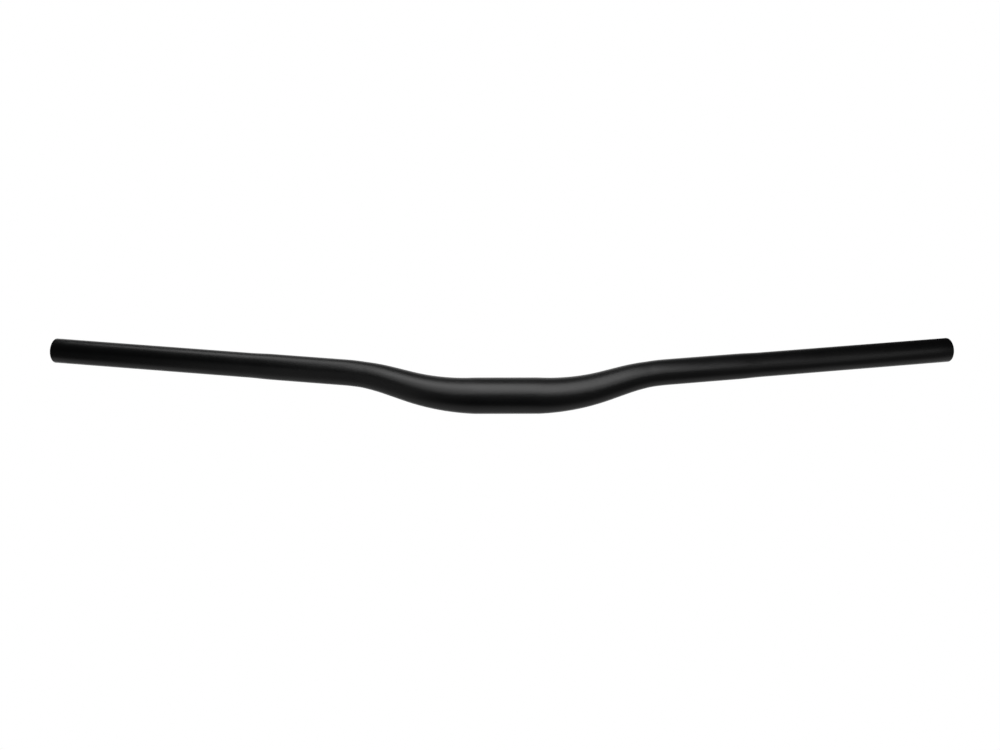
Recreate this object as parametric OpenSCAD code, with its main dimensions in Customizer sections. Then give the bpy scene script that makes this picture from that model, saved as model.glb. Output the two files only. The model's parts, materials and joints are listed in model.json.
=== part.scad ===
// Riser handlebar for a mountain bicycle: one bare aluminium tube, swaged from a
// thick middle down to its arms, bent upwards and backwards on each side, and
// reduced to grip size over the outer part of each arm.
// Millimetres. The origin is the centre of the clamp zone. X runs along the bar to
// the right as seen from in front of the bicycle, Y backwards to the rider, Z up.

/* [Shape] */
// Width between the centres of the two end faces
bar_width = 820; // [720:5:860]
// Height of each arm's inner end above the clamp zone's centre line
rise = 20; // [16:0.5:36]
// Angle by which the arms point backwards
backsweep = 8; // [4:0.5:12]
// Angle by which the arms point upwards
upsweep = 4; // [1:0.5:6]

/* [Bends] */
// Angle at which the short leg between the two bends climbs
leg_climb = 16; // [14:0.5:18]
// Radius of the bend next to the clamp zone, on the centre line
lower_bend_radius = 190; // [120:5:280]
// Radius of the bend next to the arm, on the centre line
upper_bend_radius = 190; // [120:5:300]

/* [Tube] */
// Outside diameter of the clamp zone
clamp_diameter = 31.8; // [30:0.1:35]
// Length of the straight clamp zone
clamp_width = 56; // [40:1:80]
// Wall thickness in the clamp zone
clamp_wall = 2.4; // [1.6:0.1:4]
// Outside diameter of the grip zones, the size that grips and levers fit
grip_diameter = 22.2; // [22:0.1:25.4]
// Wall thickness in the grip zones
grip_wall = 1.9; // [1.4:0.1:3.2]
// Length of each grip zone, from the end face inwards
grip_length = 184; // [150:1:195]
// How much thicker the wall of each arm is inboard of its grip zone
step_height = 0.4; // [0.1:0.05:1]
// Length over which it thins to the grip zone's wall
step_length = 20; // [4:1:30]
// Length of the taper along the centre line, from the clamp zone outwards
taper_length = 100; // [60:1:110]

/* [Ends] */
// Chamfer round the outer edge of each open end
edge_chamfer = 0.5; // [0.1:0.1:0.8]
// Chamfer round the mouth of each bore
mouth_chamfer = 0.4; // [0.1:0.1:0.6]

/* [Finish] */
// Shade of the matte black surface, from 0 for black to 1 for white
shade = 0.1; // [0.04:0.01:0.4]

/* [Hidden] */
clamp_radius = clamp_diameter / 2;
grip_radius = grip_diameter / 2;
arm_radius = grip_radius + step_height;
clamp_bore_radius = clamp_radius - clamp_wall;
arm_bore_radius = grip_radius - grip_wall;

// Directions of the three straight stretches on the +X side
middle_way = [1, 0, 0];
leg_way = heading(leg_climb, backsweep);
arm_way = heading(upsweep, backsweep);

// Angles turned by the two bends
lower_turn = acos(middle_way * leg_way);
upper_turn = acos(leg_way * arm_way);

// The leg is as long as the wanted rise asks for
upper_reach = upper_bend_radius * tan(upper_turn / 2);
lower_reach = lower_bend_radius * tan(lower_turn / 2);
leg_length = (rise - upper_reach * (leg_way.z + arm_way.z)) / leg_way.z - lower_reach;

// Corners of the centre line where its stretches meet
bend_start = [clamp_width / 2, 0, 0];
leg_start = bend_start + lower_reach * (middle_way + leg_way);
leg_end = leg_start + leg_length * leg_way;
arm_start = leg_end + upper_reach * (leg_way + arm_way);
arm_length = (bar_width / 2 - arm_start.x) / arm_way.x;

// Distances along the centre line, counted from the clamp zone's edge
lower_arc = lower_bend_radius * lower_turn * PI / 180;
upper_arc = upper_bend_radius * upper_turn * PI / 180;
leg_at = lower_arc;
upper_at = lower_arc + leg_length;
arm_at = upper_at + upper_arc;

// Sides of the bent stretch's cross-section, and rings along each of its bends
sides = 48;
lower_rings = 10;
upper_rings = 7;
// How far the bent stretch reaches into the straight ones, and stays within their walls
lap = 1;
tuck = 0.02;
$fn = 120;

// Unit vector that climbs by one angle and points backwards by another
function heading(climb, back) =
    [cos(climb) * cos(back), cos(climb) * sin(back), sin(climb)];

function unit(v) = v / norm(v);

// Direction part of the way through a bend that turns from one heading to another
function turned(from, to, angle) =
    cos(angle) * from + sin(angle) * unit(to - (to * from) * from);

// Point part of the way through a bend
function along_bend(start, from, to, radius, angle) =
    start + radius * (sin(angle) * from
        + (1 - cos(angle)) * unit(to - (to * from) * from));

// Centre line at a distance from the clamp zone's edge, and its direction there
function way_at(s) =
    s <= 0 ? middle_way :
    s < leg_at ? turned(middle_way, leg_way, s / lower_arc * lower_turn) :
    s <= upper_at ? leg_way :
    s < arm_at ? turned(leg_way, arm_way, (s - upper_at) / upper_arc * upper_turn) :
    arm_way;
function point_at(s) =
    s <= 0 ? bend_start + s * middle_way :
    s < leg_at ? along_bend(bend_start, middle_way, leg_way, lower_bend_radius,
        s / lower_arc * lower_turn) :
    s <= upper_at ? leg_start + (s - leg_at) * leg_way :
    s < arm_at ? along_bend(leg_end, leg_way, arm_way, upper_bend_radius,
        (s - upper_at) / upper_arc * upper_turn) :
    arm_start + (s - arm_at) * arm_way;

// The tube and its bore narrow steadily over the taper's length
function share(s) = max(0, min(1, s / taper_length));
function skin_at(s) = clamp_radius + (arm_radius - clamp_radius) * share(s) - tuck;
function bore_at(s) =
    (clamp_bore_radius + (arm_bore_radius - clamp_bore_radius) * share(s) + tuck)
    / cos(180 / sides);

// Ring of points square to the centre line
function ring(s, radius) =
    let (way = way_at(s), across = unit(cross([0, 0, 1], way)), up = cross(way, across))
    [for (i = [0 : sides - 1])
        point_at(s) + radius * (cos(360 * i / sides) * across
            + sin(360 * i / sides) * up)];

// Closed band of triangles between ring number a and ring number b
function band(a, b) = [for (i = [0 : sides - 1], half = [0, 1])
    let (j = (i + 1) % sides)
    half == 0 ? [a * sides + i, b * sides + i, b * sides + j]
              : [a * sides + i, b * sides + j, a * sides + j]];

// Straight arm along X: it steps down to the grip zone, and both edges of its open
// end are broken
module arm() {
    rotate([0, 90, 0])
        rotate_extrude()
            polygon([
                [arm_bore_radius, 0], [arm_radius, 0],
                [arm_radius, arm_length - grip_length - step_length],
                [grip_radius, arm_length - grip_length],
                [grip_radius, arm_length - edge_chamfer],
                [grip_radius - edge_chamfer, arm_length],
                [arm_bore_radius + mouth_chamfer, arm_length],
                [arm_bore_radius, arm_length - mouth_chamfer]
            ]);
}

// Tube through both bends of the +X side, narrowing as it goes
module bent_tube() {
    stations = concat(
        [-lap, 0.3],
        [for (i = [1 : lower_rings]) lower_arc * i / lower_rings],
        [for (i = [0 : upper_rings - 1]) upper_at + upper_arc * i / upper_rings],
        [arm_at - 0.3, arm_at + lap]
    );
    skin = [for (s = stations) each ring(s, skin_at(s))];
    back = [for (k = [len(stations) - 1 : -1 : 0])
        if (k % 2 == 0 || stations[k] < 1 || stations[k] > arm_at - 1) stations[k]];
    bore = [for (s = back) each ring(s, bore_at(s))];
    rings = len(stations) + len(back);
    polyhedron(
        points = concat(skin, bore),
        faces = [for (k = [0 : rings - 1]) each band(k, (k + 1) % rings)],
        convexity = 6
    );
}

module half() {
    bent_tube();
    translate(arm_start)
        rotate([0, -upsweep, backsweep])
            arm();
}

module clamp_zone() {
    translate([-clamp_width / 2, 0, 0])
        rotate([0, 90, 0])
            difference() {
                cylinder(h = clamp_width, r = clamp_radius);
                translate([0, 0, -1])
                    cylinder(h = clamp_width + 2, r = clamp_bore_radius);
            }
}

module handlebar() {
    color([shade, shade, shade * 1.04])
        union() {
            clamp_zone();
            half();
            mirror([1, 0, 0]) half();
        }
}

handlebar();
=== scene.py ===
import json
from math import cos, radians, sin, tan

import bmesh
import bpy
from mathutils import Matrix, Vector


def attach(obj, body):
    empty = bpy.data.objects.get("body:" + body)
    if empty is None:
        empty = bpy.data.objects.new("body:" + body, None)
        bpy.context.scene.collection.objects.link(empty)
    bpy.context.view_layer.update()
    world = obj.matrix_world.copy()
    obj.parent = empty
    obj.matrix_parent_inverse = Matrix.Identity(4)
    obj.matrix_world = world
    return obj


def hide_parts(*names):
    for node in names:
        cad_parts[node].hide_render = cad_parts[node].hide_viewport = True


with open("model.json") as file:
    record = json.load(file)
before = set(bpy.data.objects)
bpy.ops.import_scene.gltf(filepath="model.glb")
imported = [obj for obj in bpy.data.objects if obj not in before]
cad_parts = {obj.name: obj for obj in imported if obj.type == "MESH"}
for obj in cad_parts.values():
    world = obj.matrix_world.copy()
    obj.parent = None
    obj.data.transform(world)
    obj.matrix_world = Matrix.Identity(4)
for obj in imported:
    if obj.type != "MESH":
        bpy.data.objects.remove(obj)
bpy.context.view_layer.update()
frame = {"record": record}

# Camera
# It stands in front of the bar's middle, a little above it and a little to the left,
# and looks almost level. The place and lens are those that fit the photograph.
camera_place = Vector((-0.0231, -0.9, 0.0541))
camera_pan = radians(-1.093)
camera_tilt = radians(-2.291)
camera_roll = radians(0.028)
camera_lens = 37.155

bpy.ops.object.camera_add(
    location=camera_place,
    rotation=(radians(90) + camera_tilt, camera_roll, camera_pan),
)
camera = bpy.context.object
camera.data.lens = camera_lens
bpy.context.scene.camera = camera

# Handlebar
# One aluminium tube, swaged from a thick middle down to its arms, bent upwards and
# backwards on each side, and reduced to grip size over the outer part of each arm. It
# is cut square at both open ends, bead blasted and anodised black.
mounts = {mount["name"]: mount for mount in frame["record"]["mounts"]}
clamp_radius = mounts["stem_clamp"]["dims"]["r_mm"] / 1000
clamp_half_width = mounts["stem_clamp"]["dims"]["length_mm"] / 2000
grip_radius = mounts["right_arm"]["dims"]["r_mm"] / 1000
bore_radius = mounts["right_bore"]["dims"]["r_mm"] / 1000
clamp_wall = 0.0024
half_width = 0.41
rise = 0.02
leg_climb = 16
upsweep = 4
backsweep = 8
bend_radius = 0.19
taper_length = 0.1
grip_length = 0.184
step_height = 0.0004
step_length = 0.02
edge_round = 0.0007
mouth_round = 0.0004
sides = 128
touching = 1e-5
smooth_angle = radians(30)


def heading(climb, back):
    """Unit vector that climbs by one angle and points backwards by another, in degrees."""
    climb, back = radians(climb), radians(back)
    return Vector((cos(climb) * cos(back), cos(climb) * sin(back), sin(climb)))


middle_way = Vector((1, 0, 0))
leg_way = heading(leg_climb, backsweep)
arm_way = heading(upsweep, backsweep)
lower_turn = middle_way.angle(leg_way)
upper_turn = leg_way.angle(arm_way)
lower_reach = bend_radius * tan(lower_turn / 2)
upper_reach = bend_radius * tan(upper_turn / 2)
leg_length = (rise - upper_reach * (leg_way.z + arm_way.z)) / leg_way.z - lower_reach
arm_start = (
    Vector((clamp_half_width, 0, 0))
    + lower_reach * (middle_way + leg_way)
    + leg_length * leg_way
    + upper_reach * (leg_way + arm_way)
)
arm_length = (half_width - arm_start.x) / arm_way.x
end_centre = arm_start + arm_length * arm_way
step_start = (
    bend_radius * (lower_turn + upper_turn)
    + leg_length + arm_length - grip_length - step_length
)


def outside_radius():
    """Radius of the tube at this distance along it from the clamp zone's edge."""
    taper = min(max(along / taper_length, 0), 1)
    step = min(max((along - step_start) / step_length, 0), 1)
    arm_radius = grip_radius + step_height
    swaged = clamp_radius + (arm_radius - clamp_radius) * taper
    return swaged - step_height * step * step * (3 - 2 * step)


def wall_here():
    """Wall thickness at this distance along the tube."""
    taper = min(max(along / taper_length, 0), 1)
    clamp_bore_radius = clamp_radius - clamp_wall
    return outside_radius() - (clamp_bore_radius + (bore_radius - clamp_bore_radius) * taper)


def shape_ring():
    """Swages the selected ring, and notes its wall and where its points lay before bending."""
    mesh = bmesh.from_edit_mesh(tube.data)
    ring = [v for v in mesh.verts if v.select]
    ratio = outside_radius() / (ring[0].co - centre).length
    bpy.ops.transform.resize(value=(ratio, ratio, ratio), center_override=centre)
    mesh = bmesh.from_edit_mesh(tube.data)
    unbent = mesh.verts.layers.float_vector["unbent"]
    wall = mesh.verts.layers.float["wall"]
    up = (Vector((0, 0, 1)) - way.z * way).normalized()
    side = way.cross(up)
    for v in mesh.verts:
        if v.select:
            spoke = v.co - centre
            v[unbent] = (along, spoke.dot(side), spoke.dot(up))
            v[wall] = wall_here()


def run_straight(length, steps):
    """Lengthens the tube straight on from the selected ring."""
    global centre, along
    for _ in range(steps):
        step = way * (length / steps)
        bpy.ops.mesh.extrude_region_move(TRANSFORM_OT_translate={"value": step})
        centre = centre + step
        along += length / steps
        shape_ring()


def run_bend(new_way, steps):
    """Lengthens the tube from the selected ring round a bend that ends in the new heading."""
    global centre, along, way
    axis = way.cross(new_way).normalized()
    angle = way.angle(new_way) / steps
    pivot = centre + axis.cross(way) * bend_radius
    for _ in range(steps):
        bpy.ops.mesh.spin(steps=1, angle=angle, center=pivot, axis=-axis)
        turn = Matrix.Rotation(angle, 3, axis)
        centre = pivot + turn @ (centre - pivot)
        way = turn @ way
        along += bend_radius * angle
        shape_ring()
    way = new_way.copy()


bpy.ops.object.select_all(action="DESELECT")
bpy.ops.mesh.primitive_circle_add(
    vertices=sides, radius=clamp_radius, fill_type="NOTHING", rotation=(0, radians(90), 0)
)
tube = bpy.context.object
tube.name = tube.data.name = "bent_tube"
bpy.ops.object.transform_apply(location=True, rotation=True, scale=True)
tube.data.attributes.new("unbent", "FLOAT_VECTOR", "POINT")
tube.data.attributes.new("wall", "FLOAT", "POINT")

centre = Vector((0, 0, 0))
way = middle_way.copy()
along = -clamp_half_width
bpy.ops.object.mode_set(mode="EDIT")
bpy.ops.mesh.select_all(action="SELECT")
shape_ring()
run_straight(clamp_half_width, steps=4)
run_bend(leg_way, steps=24)
run_straight(leg_length, steps=4)
run_bend(arm_way, steps=16)
run_straight(arm_length - grip_length - step_length, steps=6)
run_straight(step_length, steps=8)
run_straight(grip_length, steps=12)
bpy.ops.object.mode_set(mode="OBJECT")

bpy.ops.object.modifier_add(type="MIRROR")
tube.modifiers["Mirror"].merge_threshold = touching
bpy.ops.object.modifier_apply(modifier="Mirror")
bpy.ops.object.mode_set(mode="EDIT")
bpy.ops.mesh.select_all(action="SELECT")
bpy.ops.mesh.remove_doubles(threshold=touching)
bpy.ops.mesh.normals_make_consistent(inside=False)
bpy.ops.object.mode_set(mode="OBJECT")

wall_share = tube.vertex_groups.new(name="wall_share")
for v, wall in zip(tube.data.vertices, tube.data.attributes["wall"].data):
    wall_share.add([v.index], wall.value / clamp_wall, "REPLACE")
bpy.ops.object.modifier_add(type="SOLIDIFY")
thickness = tube.modifiers["Solidify"]
thickness.thickness = clamp_wall
thickness.offset = -1
thickness.use_even_offset = True
thickness.vertex_group = wall_share.name
thickness.material_offset = 1
thickness.material_offset_rim = 2


def round_end_edge(radius, width):
    """Rounds the ring of edges that lies in both end faces at this radius."""
    bpy.ops.object.mode_set(mode="EDIT")
    bpy.ops.mesh.select_all(action="DESELECT")
    mesh = bmesh.from_edit_mesh(tube.data)
    for edge in mesh.edges:
        offsets = [Vector((abs(v.co.x), v.co.y, v.co.z)) - end_centre for v in edge.verts]
        if all(
            abs(offset.dot(arm_way)) < touching and abs(offset.length - radius) < touching
            for offset in offsets
        ):
            edge.select_set(True)
    bmesh.update_edit_mesh(tube.data)
    bpy.ops.mesh.bevel(offset=width, segments=4, affect="EDGES", profile=0.5)
    bpy.ops.object.mode_set(mode="OBJECT")


class Shade:
    """An output of a material's nodes. Python's operators on it add Math nodes to its tree."""

    def __init__(self, tree, socket=None):
        self.tree = tree
        self.socket = socket

    def node(self, kind, settings=None, inputs=None, output=0):
        """Adds a node with its settings, then gives its sockets their values or links."""
        made = self.tree.nodes.new(kind)
        for name, value in (settings or {}).items():
            setattr(made, name, value)
        for name, value in (inputs or {}).items():
            if isinstance(value, Shade):
                self.tree.links.new(value.socket, made.inputs[name])
            else:
                made.inputs[name].default_value = value
        return Shade(self.tree, made.outputs[output] if made.outputs else None)

    def math(self, operation, *values):
        return self.node("ShaderNodeMath", {"operation": operation}, dict(enumerate(values)))

    def __add__(self, other):
        return self.math("ADD", self, other)

    def __sub__(self, other):
        return self.math("SUBTRACT", self, other)

    def __rsub__(self, other):
        return self.math("SUBTRACT", other, self)

    def __mul__(self, other):
        return self.math("MULTIPLY", self, other)

    __radd__ = __add__
    __rmul__ = __mul__


def new_material(name):
    """A material with no nodes yet, and the start for its nodes."""
    material = bpy.data.materials.new(name)
    material.use_nodes = True
    material.node_tree.nodes.clear()
    return material, Shade(material.node_tree)


def noise(start, place, per_metre, detail=2.0):
    """Noise with about this many features to the metre, from 0 to 1."""
    return start.node(
        "ShaderNodeTexNoise", {}, {"Vector": place, "Scale": per_metre, "Detail": detail}
    )


def anodised(start, tint, roughness, gloss, height, distance):
    """Black anodised surface: a varying tint and roughness, and bumps up to this distance."""
    deepest = (0.0007, 0.0007, 0.0008, 1)
    palest = (0.0016, 0.0016, 0.0017, 1)
    colour = start.node(
        "ShaderNodeMix", {"data_type": "RGBA"}, {0: tint, 6: deepest, 7: palest}, output=2
    )
    bump = start.node(
        "ShaderNodeBump", {}, {"Strength": 1.0, "Distance": distance, "Height": height}
    )
    surface = start.node(
        "ShaderNodeBsdfPrincipled",
        {},
        {
            "Base Color": colour,
            "Roughness": roughness,
            "Specular IOR Level": gloss,
            "Normal": bump,
        },
    )
    start.node("ShaderNodeOutputMaterial", {}, {"Surface": surface})


def blasted_outside():
    """Outside of the tube: fine blasted grain with a faint cloudiness."""
    material, start = new_material("blasted_black")
    place = start.node("ShaderNodeTexCoord", output="Object")
    clouds = noise(start, place, per_metre=45.0, detail=3.0)
    speckle = noise(start, place, per_metre=900.0)
    grain = noise(start, place, per_metre=3200.0)
    anodised(
        start,
        tint=clouds * 0.6 + speckle * 0.4,
        roughness=clouds * 0.09 + speckle * 0.06 + 0.27,
        gloss=0.25,
        height=grain,
        distance=0.00002,
    )
    return material


def drawn_inside():
    """Bore of the tube: lines along its length, as the drawing plug left them."""
    material, start = new_material("drawn_black")
    place = start.node("ShaderNodeAttribute", {"attribute_name": "unbent"}, output="Vector")
    per_metre_along_and_across = (6, 1500, 1500)
    drawn_out = start.node(
        "ShaderNodeVectorMath",
        {"operation": "MULTIPLY"},
        {0: place, 1: per_metre_along_and_across},
    )
    lines = noise(start, drawn_out, per_metre=1.0)
    anodised(
        start,
        tint=lines,
        roughness=lines * 0.1 + 0.35,
        gloss=0.5,
        height=lines,
        distance=0.00002,
    )
    return material


def turned_end():
    """End faces: fine rings round the bore, as the cutting tool left them."""
    material, start = new_material("turned_black")
    place = start.node("ShaderNodeTexCoord", output="Object")
    place = start.node("ShaderNodeVectorMath", {"operation": "ABSOLUTE"}, {0: place})
    spoke = start.node(
        "ShaderNodeVectorMath", {"operation": "SUBTRACT"}, {0: place, 1: end_centre}
    )
    radius = start.node(
        "ShaderNodeVectorMath", {"operation": "LENGTH"}, {0: spoke}, output="Value"
    )
    rings = noise(start, radius, per_metre=3000.0)
    anodised(
        start,
        tint=rings,
        roughness=rings * 0.1 + 0.35,
        gloss=0.8,
        height=rings,
        distance=0.00001,
    )
    return material


for finish in (blasted_outside(), drawn_inside(), turned_end()):
    tube.data.materials.append(finish)
bpy.ops.object.modifier_apply(modifier="Solidify")
round_end_edge(grip_radius, edge_round)
round_end_edge(bore_radius, mouth_round)
bpy.ops.object.shade_smooth_by_angle(angle=smooth_angle)
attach(tube, "root")
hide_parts("handlebar")

# Floor and backdrop
# A pale floor well below the bar, white further out, and a white backdrop, as in a
# catalogue picture. For gloss rays only, the floor and the world glow in zones, a painted
# reflection: white behind the bar, grey above its middle, past its ends and on the floor.
floor_height = -0.75
floor_size = 40
floor_colour = (0.5, 0.5, 0.5, 1)
white_colour = (1, 1, 1, 1)
pale_level = 0.8
# Glow of each zone of the floor for gloss rays only, a painted reflection
far_level = 0.64
near_level = 0.68
dip_level = 0.34
right_level = 0.18
left_level = 0.09

# Where each zone of the floor starts and where it is full, in metres
pale_edge = (0.7, 1.1)
far_edge = (0.75, 1.0)
dip_edge = (0.25, 0.5)
near_edge = (-0.5, -0.25)
near_centre = -0.12
near_side = (0.1, 0.4)
near_set_back = 0.25
right_edge = (0.05, 0.3)
left_edge = (-0.05, -0.3)


def ramp(start, value, low, high):
    """0 below the low value and 1 above the high one, with a smooth rise between them."""
    return start.node(
        "ShaderNodeMapRange",
        {"interpolation_type": "SMOOTHSTEP"},
        {"Value": value, "From Min": low, "From Max": high, "To Min": 0.0, "To Max": 1.0},
    )


def seen_and_gloss(start):
    """1 for rays straight from the camera, and 1 for rays by way of gloss or glass."""
    camera_ray = start.node("ShaderNodeLightPath", output="Is Camera Ray")
    glossy_ray = start.node("ShaderNodeLightPath", output="Is Glossy Ray")
    clear_ray = start.node("ShaderNodeLightPath", output="Is Transmission Ray")
    return camera_ray, start.math("MAXIMUM", glossy_ray, clear_ray)


bpy.ops.object.select_all(action="DESELECT")
bpy.ops.mesh.primitive_plane_add(size=floor_size, location=(0, 0, floor_height))
floor = bpy.context.object
floor.name = "floor"
bpy.ops.object.transform_apply(location=True, rotation=True, scale=True)
floor_paint, start = new_material("floor_paint")
place = start.node("ShaderNodeTexCoord", output="Object")
across = start.node("ShaderNodeSeparateXYZ", {}, {0: place}, output="X")
back = start.node("ShaderNodeSeparateXYZ", {}, {0: place}, output="Y")
far = ramp(start, back, *far_edge)
dip = ramp(start, back, *dip_edge)
aside = start.math("ABSOLUTE", across - near_centre)
near = ramp(start, back - ramp(start, aside, *near_side) * near_set_back, *near_edge)
right = ramp(start, across, *right_edge)
left = ramp(start, across, *left_edge)
# Painted reflection: for gloss rays only, the floor glows grey around and behind the bar,
# dimmer further back, near white far behind, and faintly off to each side in front.
floor_painted_reflection = (
    far * far_level
    + near * near_level
    - dip * dip_level
    + (1 - near) * (right * right_level + left * left_level)
)
camera_ray, gloss_ray = seen_and_gloss(start)
away = start.node("ShaderNodeVectorMath", {"operation": "LENGTH"}, {0: place}, output="Value")
seen = ramp(start, away, *pale_edge) * (1 - pale_level) + pale_level
share = camera_ray * seen + gloss_ray
matt = start.node("ShaderNodeBsdfDiffuse", {}, {"Color": floor_colour})
white_and_painted_reflection = start.node(
    "ShaderNodeEmission",
    {},
    {"Color": white_colour, "Strength": camera_ray + gloss_ray * floor_painted_reflection},
)
mixed = start.node("ShaderNodeMixShader", {}, {0: share, 1: matt, 2: white_and_painted_reflection})
start.node("ShaderNodeOutputMaterial", {}, {"Surface": mixed})
floor.data.materials.append(floor_paint)

# Glow of the world's zones for gloss rays, a painted reflection, and its even light for other
# rays
overhead_level = 0.22
past_ends_level = 0.45
dark_level = 0.012
ambient_level = 0.15

# Where each zone of the backdrop starts and where it is full, as parts of a unit vector
white_edge = (0.6, 0.84)
white_right_edge = (0.26, 0.36)
overhead_edge = (-0.04, 0.08)
overhead_centre = -0.05
overhead_side = (0.25, 0.37)
past_ends_edge = (0.86, 0.96)

world = bpy.data.worlds.new("backdrop")
bpy.context.scene.world = world
world.use_nodes = True
world.node_tree.nodes.clear()
start = Shade(world.node_tree)
direction = start.node("ShaderNodeTexCoord", output="Generated")
direction = start.node("ShaderNodeVectorMath", {"operation": "NORMALIZE"}, {0: direction})
across = start.node("ShaderNodeSeparateXYZ", {}, {0: direction}, output="X")
back = start.node("ShaderNodeSeparateXYZ", {}, {0: direction}, output="Y")
white = ramp(start, back, *white_edge) * (1 - ramp(start, across, *white_right_edge))
aside = start.math("ABSOLUTE", across - overhead_centre)
overhead = ramp(start, back, *overhead_edge) * (1 - ramp(start, aside, *overhead_side))
past_ends = ramp(start, start.math("ABSOLUTE", across), *past_ends_edge)
# Painted reflection: for gloss rays only, the world is white behind the bar, grey above its
# middle and past its ends, and dark elsewhere.
world_painted_reflection = (
    white
    + overhead * (1 - white) * overhead_level
    + past_ends * past_ends_level
    + dark_level
)
camera_ray, gloss_ray = seen_and_gloss(start)
strength = (
    camera_ray * (1 - ambient_level)
    + gloss_ray * (world_painted_reflection - ambient_level)
    + ambient_level
)
background = start.node(
    "ShaderNodeBackground", {}, {"Color": white_colour, "Strength": strength}
)
start.node("ShaderNodeOutputWorld", {}, {"Surface": background})

# Softboxes
# A long one hangs above and in front of the bar, its left end higher than its right
# end, and a small one close over the bar's middle. A dim one fills from below left,
# and a tiny one stands in front of the bar and past its right end.
aim = Vector((0, 0.01, 0.02))


def softbox(name, azimuth, elevation, distance, twist, size, power):
    """A softbox that faces the bar's middle, at these angles in degrees from the front."""
    azimuth, elevation = radians(azimuth), radians(elevation)
    away = Vector((
        sin(azimuth) * cos(elevation),
        -cos(azimuth) * cos(elevation),
        sin(elevation),
    ))
    facing = away.to_track_quat("Z", "Y").to_matrix() @ Matrix.Rotation(radians(twist), 3, "Z")
    bpy.ops.object.light_add(
        type="AREA", location=aim + away * distance, rotation=facing.to_euler()
    )
    lamp = bpy.context.object
    lamp.name = name
    lamp.data.shape = "RECTANGLE"
    lamp.data.size, lamp.data.size_y = size
    lamp.data.energy = power
    lamp.visible_camera = False


softbox(
    "long_softbox", azimuth=1.8, elevation=54.2, distance=1.05, twist=-58.3,
    size=(3.26, 0.547), power=19.95,
)
softbox(
    "small_softbox", azimuth=1.6, elevation=43.8, distance=0.261, twist=-71.2,
    size=(0.295, 0.422), power=0.937,
)
softbox(
    "low_softbox", azimuth=-46.1, elevation=-25.8, distance=0.7, twist=-117.5,
    size=(0.843, 0.253), power=0.344,
)
softbox(
    "end_softbox", azimuth=65, elevation=-1.2, distance=0.56, twist=-38.3,
    size=(0.13, 0.29), power=0.088,
)

bpy.context.scene.view_settings.view_transform = "Standard"
